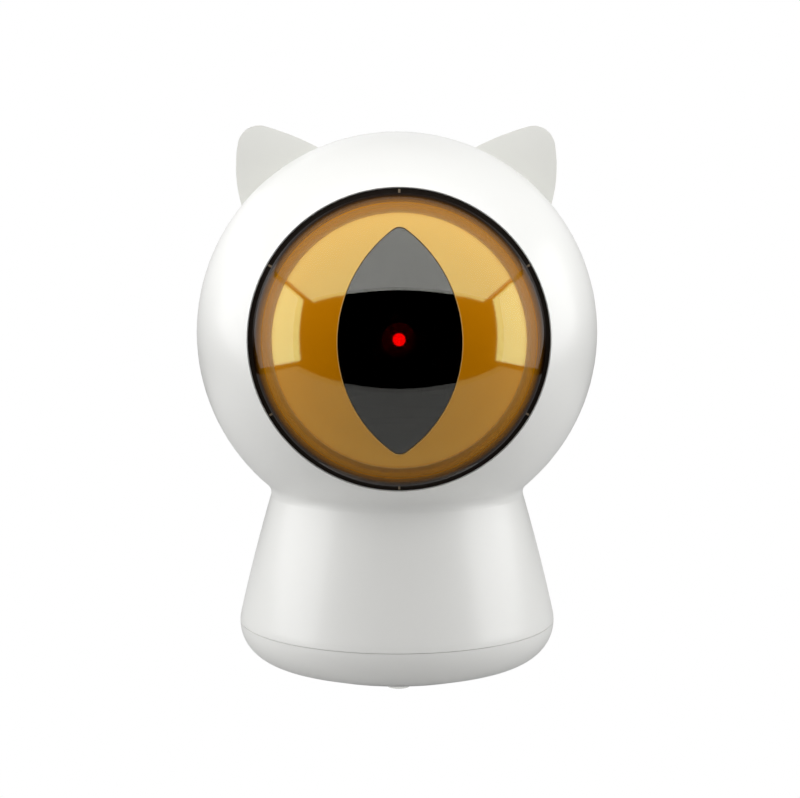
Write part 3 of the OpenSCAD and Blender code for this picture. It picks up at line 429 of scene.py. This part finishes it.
nickel_steel = turned_metal("nickel_plated_steel", "C9C8C4", 0.28, 0.4)
lens_brass = turned_metal("turned_brass", "D9B56A", 0.30, 0.3)
solder_mask = moulded_plastic("green_solder_mask", "0E4A24", "0B3E1E", 0.35, grain_mm=1.2,
                              bump=0.05)
cell_wrap = moulded_plastic("cell_wrap_film", "1F4F36", "17412B", 0.22, grain_mm=2.0, bump=0.02)
clear_guide = moulded_plastic("clear_light_guide", "E9EEEE", "E2E8E8", 0.12, grain_mm=1.0,
                              bump=0.01)
print("inside:", nickel_steel.name, lens_brass.name, solder_mask.name, cell_wrap.name,
      clear_guide.name)

# %% [markdown]
# ## The glowing aperture
#
# The laser's front lens scatters a little of its beam, so from any side it looks like a flat red
# disc. It gives off its own light, brightest in the middle.

# %% Red glow
GLOW_REACH = 2.0 * MM
GLOW_MIDDLE, GLOW_EDGE = 21.0, 15.0


def laser_glow():
    material, tree, surface = new_material("laser_red_glow")
    fading = add(tree, "ShaderNodeMapRange", {"Value": radial_distance(tree)},
                 {"From Min": 0.0, "From Max": GLOW_REACH,
                  "To Min": GLOW_MIDDLE, "To Max": GLOW_EDGE})
    glow = add(tree, "ShaderNodeEmission", {"Strength": fading.outputs["Result"]},
               {"Color": linear("FF0202")})
    tree.links.new(glow.outputs["Emission"], surface)
    return material


laser_red = laser_glow()
print("glow:", laser_red.name)

# %% [markdown]
# ## Dress the parts
#
# Each part gets its finish by its slot in the record, so that no part is forgotten. Only the ring
# round the lens is set apart: it shares the black slot with hidden parts, but it is rubber.

# %% Assign a finish to every slot
FINISH = {
    "shell": white_abs, "ear": ear_abs_painted_shade, "amber": lens_acrylic_painted_rim, "black": black_abs,
    "gold": iris_gold, "smoke": smoked_acrylic, "frame": bowl_amber_and_shade, "steel": nickel_steel,
    "rubber": foot_rubber, "cell": cell_wrap, "board": solder_mask, "button": button_abs,
    "clear": clear_guide, "inner": grey_nylon, "bronze": lens_brass, "gear": ivory_acetal,
    "laser": laser_red,
}
slot_of = {entry["node"]: entry["material_slot"] for entry in frame["record"]["subparts"]}
for name, part in frame["nodes"].items():
    finish = ring_rubber if name == "eye_gasket" else FINISH[slot_of[name]]
    part.data.materials.clear()
    part.data.materials.append(finish)
print("dressed", len(slot_of), "parts in", len(FINISH) + 1, "finishes")

# %% [markdown]
# ## Helpers for pieces
#
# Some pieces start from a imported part, whose mesh is loose triangles, so its doubled corners are
# welded first. Each new piece and each panel of the studio ends the same way: its bmesh becomes a
# mesh with one material, and the mesh an object at the origin.

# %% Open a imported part, and close a bmesh
WELD = 0.001 * MM


def packed_copy(node):
    """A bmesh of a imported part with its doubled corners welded."""
    copy = bmesh.new()
    copy.from_mesh(frame["nodes"][node].data)
    bmesh.ops.remove_doubles(copy, verts=copy.verts, dist=WELD)
    return copy


def object_from(name, shape, material):
    """Turns a bmesh into an object of one material, and frees the bmesh."""
    mesh = bpy.data.meshes.new(name)
    shape.to_mesh(mesh)
    shape.free()
    mesh.materials.append(material)
    made = bpy.data.objects.new(name, mesh)
    bpy.context.collection.objects.link(made)
    return made


print("corners closer than %.3f mm are welded" % (WELD / MM))

# %% [markdown]
# ## Bright rims of the iris
#
# A thin pale line shows round the iris and round its slit, where its sharp rims catch the light.
# The line could be painted on, but then it would have no edge of its own to catch the light. Here
# the imported iris gives its sharp rims, and a fine bead lies on them. The bead's pale cream colour
# is a painted highlight on top of the light that its own round edge catches.

# %% Lay a fine bead along the rims
RIM_ANGLE = math.radians(40)
RIM_SLACK = 0.02 * MM
BEAD_THICK = 0.2 * MM


def sharp_rims(node):
    """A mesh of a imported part's sharp edges on its outermost ball round the eye's centre."""
    rims = packed_copy(node)
    reach = max((vertex.co - ball).length for vertex in rims.verts)
    spare = [edge for edge in rims.edges
             if len(edge.link_faces) != 2 or edge.calc_face_angle() < RIM_ANGLE
             or any((vertex.co - ball).length < reach - RIM_SLACK for vertex in edge.verts)]
    bmesh.ops.delete(rims, geom=spare, context="EDGES")
    bmesh.ops.delete(rims, geom=[v for v in rims.verts if not v.link_edges], context="VERTS")
    mesh = bpy.data.meshes.new(node + "_rims")
    rims.to_mesh(mesh)
    rims.free()
    return mesh


def bead_along(name, mesh, thickness, material):
    """Turns a mesh of edges into a fine round bead. Its finish comes last: converting drops it."""
    bead = bpy.data.objects.new(name, mesh)
    bpy.context.collection.objects.link(bead)
    bpy.ops.object.select_all(action="DESELECT")
    bead.select_set(True)
    bpy.context.view_layer.objects.active = bead
    bpy.ops.object.convert(target="CURVE")
    bead.data.bevel_depth = thickness / 2
    bead.data.bevel_resolution = 2
    bpy.ops.object.convert(target="MESH")
    bead.data.materials.clear()
    bead.data.materials.append(material)
    bead.data.shade_smooth()
    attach(bead, "housing")
    return bead


# Pale cream: painted highlight of the light caught by the iris's sharp rims.
rim_painted_highlight = moulded_plastic("iris_rim_painted_highlight", "D9A95A", "CF9C48", 0.5, grain_mm=0.5, bump=0.02)
iris_bead = bead_along("iris_rim_bead", sharp_rims("iris"), BEAD_THICK, rim_painted_highlight)
print("iris rims:", len(iris_bead.data.polygons), "faces")

# %% [markdown]
# ## Polished fronts for the lens and the pupil
#
# A lens is polished, so the smallest dent in its front shows in the reflections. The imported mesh
# has a knot of thin triangles on its axis. In copies of the lens and of the smoked window that
# knot is cut out, and a smooth little cap, on the same ball, closes the hole.

# %% Close the middle of both clear parts with smooth caps
KNOT_R = 2.5 * MM
DOME_CREASE = math.radians(25)


def polished(node, name, material):
    """A copy of a packed dome whose middle is one smooth fan of faces."""
    dome = packed_copy(node)
    knot = [face for face in dome.faces
            if all(math.hypot(v.co.x, v.co.z - ball_z) < KNOT_R for v in face.verts)]
    bmesh.ops.delete(dome, geom=knot, context="FACES")
    rim = [edge for edge in dome.edges if edge.is_boundary]
    caps = bmesh.ops.holes_fill(dome, edges=rim, sides=0)["faces"]
    for cap in caps:
        radius = sum((v.co - ball).length for v in cap.verts) / len(cap.verts)
        middle = bmesh.ops.poke(dome, faces=[cap])["verts"][0]
        middle.co = ball + Vector((0, -radius, 0))
    bmesh.ops.recalc_face_normals(dome, faces=dome.faces)
    piece = object_from(name, dome, material)
    piece.data.shade_smooth()
    piece.data.set_sharp_from_angle(angle=DOME_CREASE)
    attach(piece, "housing")
    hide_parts(node)
    print(name, "knot of", len(knot), "faces, caps:", len(caps))


polished("eye_lens", "eye_lens_polished", lens_acrylic_painted_rim)
polished("pupil_window", "pupil_window_polished", smoked_acrylic)

# %% [markdown]
# ## Trim ring round the iris
#
# Between the iris and the lens's wall lies a narrow sloping ring of the bowl's brown-amber
# lacquer. It is a turned shape, so its small cross-section is drawn once and spun round the axis
# of the eye. Its front follows a ball just inside the one that the iris lies on.

# %% Spin the trim ring
TRIM_STEPS = (0.04 * MM, 1.2 * MM, 2.35 * MM)
TRIM_THICK = 0.5 * MM
TRIM_DROP = 0.15 * MM
TRIM_CREASE = math.radians(30)
RING_STEPS = 180

iris_r = max(Vector(corner).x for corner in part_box("iris"))
iris_ball_r = max((vertex.co - ball).length for vertex in frame["nodes"]["iris"].data.vertices)


def on_ball(radius, across):
    """How far in front of the eye's centre a ball lies, at this distance from the axis."""
    return math.sqrt(radius ** 2 - across ** 2)


def spun_ring(name, profile, material):
    """Spins a closed profile of (distance from the axis, distance in front) round the axis."""
    ring = bmesh.new()
    corners = [ring.verts.new((across, -forward, ball_z)) for across, forward in profile]
    face = ring.faces.new(corners)
    edges = list(face.edges)
    bmesh.ops.delete(ring, geom=[face], context="FACES_ONLY")
    bmesh.ops.spin(ring, geom=corners + edges, cent=ball, axis=(0, 1, 0), angle=2 * math.pi,
                   steps=RING_STEPS, use_merge=True, use_duplicate=False)
    bmesh.ops.remove_doubles(ring, verts=ring.verts, dist=WELD)
    bmesh.ops.recalc_face_normals(ring, faces=ring.faces)
    piece = object_from(name, ring, material)
    piece.data.shade_smooth()
    piece.data.set_sharp_from_angle(angle=TRIM_CREASE)
    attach(piece, "housing")
    return piece


trim_front = [(iris_r + step, on_ball(iris_ball_r - TRIM_DROP, iris_r + step))
              for step in TRIM_STEPS]
trim_back = [(across, forward - TRIM_THICK) for across, forward in reversed(trim_front)]
trim = spun_ring("iris_trim_ring", trim_front + trim_back, bowl_amber_and_shade)
print("trim ring:", len(trim.data.polygons), "faces, outer radius %.2f mm"
      % ((iris_r + TRIM_STEPS[-1]) / MM))

# %% [markdown]
# ## Catches in the ring's groove
#
# Six small catches hold the lens's edge, and their ends show as faint marks in the dark groove.
# They are tiny blocks with rounded edges, turned round the axis of the eye one after the other.

# %% Set six catches round the lens
CATCH_COUNT = 6
CATCH_SIZE = (0.5 * MM, 0.4 * MM, 0.9 * MM)
CATCH_EDGE = 0.08 * MM
CATCH_SUNK = 0.02 * MM
CATCH_INWARD = 0.65 * MM

gasket_low, gasket_high = (Vector(corner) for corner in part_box("eye_gasket"))


def lens_catches(name, count, material):
    """So many rounded blocks, evenly spread round the eye's axis."""
    groove = bmesh.new()
    seat = Vector((0, gasket_low.y + CATCH_SUNK, gasket_high.z - CATCH_INWARD))
    for number in range(count):
        block = bmesh.ops.create_cube(groove, size=1.0)["verts"]
        bmesh.ops.scale(groove, vec=CATCH_SIZE, verts=block)
        bmesh.ops.translate(groove, vec=seat, verts=block)
        turn = Matrix.Rotation(number * 2 * math.pi / count, 3, "Y")
        bmesh.ops.rotate(groove, cent=ball, matrix=turn, verts=block)
    bmesh.ops.bevel(groove, geom=groove.edges[:], offset=CATCH_EDGE, segments=2, profile=0.5,
                    affect="EDGES", material=-1)
    piece = object_from(name, groove, material)
    piece.data.shade_smooth()
    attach(piece, "housing")
    return piece


catch_nylon = moulded_plastic("catch_nylon", "8A7A66", "7C6C58", 0.4)
catches = lens_catches("lens_catches", CATCH_COUNT, catch_nylon)
print("catches:", len(catches.data.polygons), "faces")

# %% [markdown]
# ## Ears with softened fronts
#
# Each ear is one moulding with a flat front. A mould's front edge is never knife-sharp, so the
# edge round the flat is rounded off by a few tenths of a millimetre. The imported ear stays as it is
# for the fit, and a copy with bevelled edges stands for it here. Faces that look straight forward
# or back are first set flat, so that the rounding doesn't bend the light on them, but the
# sharp-by-angle call that follows sets every face smooth again.

# %% Round the front edges of both ears
EAR_EDGE = 0.3 * MM
FLAT_SLACK = 0.01 * MM
FLAT_ANGLE = math.radians(0.2)
EDGE_ANGLE = math.radians(30)
EAR_CREASE = math.radians(28)
STRAIGHT_ON = 0.999


def soft_fronted(node, name, radius, material):
    """A copy of a packed ear whose front edge is rounded."""
    ear = packed_copy(node)
    front = min(vertex.co.y for vertex in ear.verts)
    bmesh.ops.dissolve_limit(ear, angle_limit=FLAT_ANGLE, verts=ear.verts, edges=ear.edges)
    free = [edge for edge in ear.edges
            if all(vertex.co.y < front + FLAT_SLACK for vertex in edge.verts)
            and len(edge.link_faces) == 2 and edge.calc_face_angle() > EDGE_ANGLE]
    bmesh.ops.bevel(ear, geom=free, offset=radius, offset_type="OFFSET", segments=3, profile=0.5,
                    affect="EDGES", clamp_overlap=True, material=-1)
    bmesh.ops.triangulate(ear, faces=ear.faces)
    piece = object_from(name, ear, material)
    for face in piece.data.polygons:
        face.use_smooth = abs(face.normal.y) < STRAIGHT_ON
    piece.data.set_sharp_from_angle(angle=EAR_CREASE)
    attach(piece, "housing")
    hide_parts(node)
    print(name, "rounded edges:", len(free), "faces:", len(piece.data.polygons))


for side in ("left", "right"):
    soft_fronted(side + "_ear", side + "_ear_softened", EAR_EDGE, ear_abs_painted_shade)

# %% [markdown]
# ## The light tent
#
# The reflections in the eye show how the toy was lit: a bright roof, a bright wall on either side
# and a pale table, all of them ending at an open, dark front where the camera stands. Each panel
# is a flat sheet that shines inward. The roof covers only the space in front of the toy, and
# climbs towards it. The walls run on behind the toy, where their lower edge rises. Lamps could
# give as much light, but only sheets give reflections with straight edges. The camera itself
# doesn't see them.

# %% Panels of the light tent
TENT_FRONT = -224 * MM
TENT_BACK = 150 * MM
ROOF_BACK = -18 * MM
ROOF_HALF = 258 * MM
ROOF_FRONT_Z = ball_z + 105 * MM
ROOF_SLOPE = 0.183
WALL_X = 336 * MM
WALL_LOW_Z = ball_z - 84 * MM
WALL_LOW_BACK_Z = ball_z + 5 * MM
WALL_RISE_Y = -40 * MM
WALL_TOP_FRONT_Z = ball_z + 129.5 * MM
WALL_TOP_SLOPE = 0.205
ROOF_STRENGTH = 1.65
WALL_STRENGTH = {-1: 2.3, 1: 2.25}


def front_only(tree, shader):
    """Keeps a shader on the front of a sheet; from behind, the sheet isn't there."""
    behind = add(tree, "ShaderNodeNewGeometry").outputs["Backfacing"]
    clear = add(tree, "ShaderNodeBsdfTransparent")
    mix = add(tree, "ShaderNodeMixShader", {0: behind, 1: shader, 2: clear.outputs["BSDF"]})
    return mix.outputs["Shader"]


def shining(name, strength):
    """White light that leaves only the panel's front face."""
    material, tree, surface = new_material(name)
    glow = add(tree, "ShaderNodeEmission", None, {"Color": grey(1.0), "Strength": strength})
    tree.links.new(front_only(tree, glow.outputs["Emission"]), surface)
    return material


def sheet_of_light(name, corners, material):
    """A flat panel; its corners run counter-clockwise seen from the toy."""
    panel = bmesh.new()
    panel.faces.new([panel.verts.new(corner) for corner in corners])
    sheet = object_from(name, panel, material)
    sheet.visible_camera = False
    sheet.visible_shadow = False


roof_back_z = ROOF_FRONT_Z + ROOF_SLOPE * (ROOF_BACK - TENT_FRONT)
sheet_of_light("tent_roof",
               [(-ROOF_HALF, TENT_FRONT, ROOF_FRONT_Z), (-ROOF_HALF, ROOF_BACK, roof_back_z),
                (ROOF_HALF, ROOF_BACK, roof_back_z), (ROOF_HALF, TENT_FRONT, ROOF_FRONT_Z)],
               shining("roof_light", ROOF_STRENGTH))

wall_top_back_z = WALL_TOP_FRONT_Z + WALL_TOP_SLOPE * (TENT_BACK - TENT_FRONT)
wall_outline = [(TENT_FRONT, WALL_LOW_Z), (WALL_RISE_Y, WALL_LOW_Z), (TENT_BACK, WALL_LOW_BACK_Z),
                (TENT_BACK, wall_top_back_z), (TENT_FRONT, WALL_TOP_FRONT_Z)]
for side, strength in WALL_STRENGTH.items():
    corners = [(side * WALL_X, y, z) for y, z in wall_outline]
    sheet_of_light("tent_wall_%s" % ("left" if side < 0 else "right"),
                   corners[::-1] if side > 0 else corners, shining("wall_light", strength))

# %% [markdown]
# ## Table and floor
#
# The toy stands on a plain white table that melts into a white background. To the eye it is pure
# white. It sends a softer white back up to the toy, and a surface that mirrors it shows it softer
# still. Its front edge lies between the toy and the camera, as its reflection shows. From below it
# isn't there, so that the toy's underside can be looked at.

# %% Lay the table
TABLE_FRONT = -174 * MM
TABLE_BACK = 300 * MM
TABLE_HALF = 285 * MM
TABLE_DROP = 0.05 * MM
TABLE_SEEN, TABLE_SENT, TABLE_MIRRORED = 1.0, 0.62, 0.38


def white_table(name, seen, sent, mirrored):
    """White by how it is looked at: straight, by what it lights, or in a mirror."""
    material, tree, surface = new_material(name)
    path = add(tree, "ShaderNodeLightPath")
    bright = add(tree, "ShaderNodeEmission", None, {"Strength": seen})
    diffuse = add(tree, "ShaderNodeBsdfDiffuse", None, {"Color": grey(sent)})
    dim = add(tree, "ShaderNodeEmission", None, {"Strength": mirrored})
    lit = add(tree, "ShaderNodeMixShader",
              {0: path.outputs["Is Glossy Ray"], 1: diffuse.outputs["BSDF"],
               2: dim.outputs["Emission"]})
    mix = add(tree, "ShaderNodeMixShader",
              {0: path.outputs["Is Camera Ray"], 1: lit.outputs["Shader"],
               2: bright.outputs["Emission"]})
    tree.links.new(front_only(tree, mix.outputs["Shader"]), surface)
    return material


floor_sheet = bmesh.new()
bmesh.ops.create_grid(floor_sheet, x_segments=1, y_segments=1, size=1.0)
for vertex in floor_sheet.verts:
    vertex.co.x *= TABLE_HALF
    vertex.co.y = TABLE_FRONT if vertex.co.y < 0 else TABLE_BACK
    vertex.co.z = -TABLE_DROP
studio_floor = object_from("studio_floor", floor_sheet,
                           white_table("white_table", TABLE_SEEN, TABLE_SENT, TABLE_MIRRORED))
print("table: %.0f by %.0f mm" % (2 * TABLE_HALF / MM, (TABLE_BACK - TABLE_FRONT) / MM))

# %% [markdown]
# ## Surroundings
#
# To the camera the world is pure white. To the toy it is dark in front, where the room lies, and
# grows bright just behind, a little more so on the left. It rises from the table's height and
# fades again overhead, beyond the roof. Each of these four is a share along one axis, and their
# product is the strength of the light.

# %% Light from the backdrop
BEHIND = {"From Min": 0.02, "From Max": 0.12, "To Min": 0.0, "To Max": 1.0}
LEFT_TO_RIGHT = {"From Min": -1.0, "From Max": 1.0, "To Min": 0.66, "To Max": 0.32}
RISING = {"From Min": -0.1, "From Max": 0.35, "To Min": 0.0, "To Max": 2.0}
OVERHEAD = {"From Min": 0.35, "From Max": 0.75, "To Min": 1.0, "To Max": 0.2}


def white_surroundings():
    world = bpy.data.worlds.new("white_surroundings")
    world.use_nodes = True
    tree = world.node_tree
    tree.nodes.clear()
    output = tree.nodes.new("ShaderNodeOutputWorld")
    ray = add(tree, "ShaderNodeTexCoord").outputs["Generated"]
    way = add(tree, "ShaderNodeSeparateXYZ", {"Vector": ray})
    behind, across, rising, overhead = [
        add(tree, "ShaderNodeMapRange", {"Value": way.outputs[axis]}, reach).outputs["Result"]
        for axis, reach in (("Y", BEHIND), ("X", LEFT_TO_RIGHT), ("Z", RISING), ("Z", OVERHEAD))]
    strength = behind
    for share in (across, rising, overhead):
        strength = add(tree, "ShaderNodeMath", {0: strength, 1: share},
                       operation="MULTIPLY").outputs["Value"]
    soft = add(tree, "ShaderNodeBackground", {"Strength": strength}, {"Color": grey(1.0)})
    white = add(tree, "ShaderNodeBackground", None, {"Color": grey(1.0), "Strength": 1.0})
    path = add(tree, "ShaderNodeLightPath")
    mix = add(tree, "ShaderNodeMixShader",
              {0: path.outputs["Is Camera Ray"], 1: soft.outputs["Background"],
               2: white.outputs["Background"]})
    tree.links.new(mix.outputs["Shader"], output.inputs["Surface"])
    bpy.context.scene.world = world
    return world


print("world:", white_surroundings().name)
bpy.context.scene.view_settings.view_transform = "Standard"
bpy.context.scene.view_settings.look = "None"

# %% [markdown]
# ## End

# %% End of the scene
print("scene built")
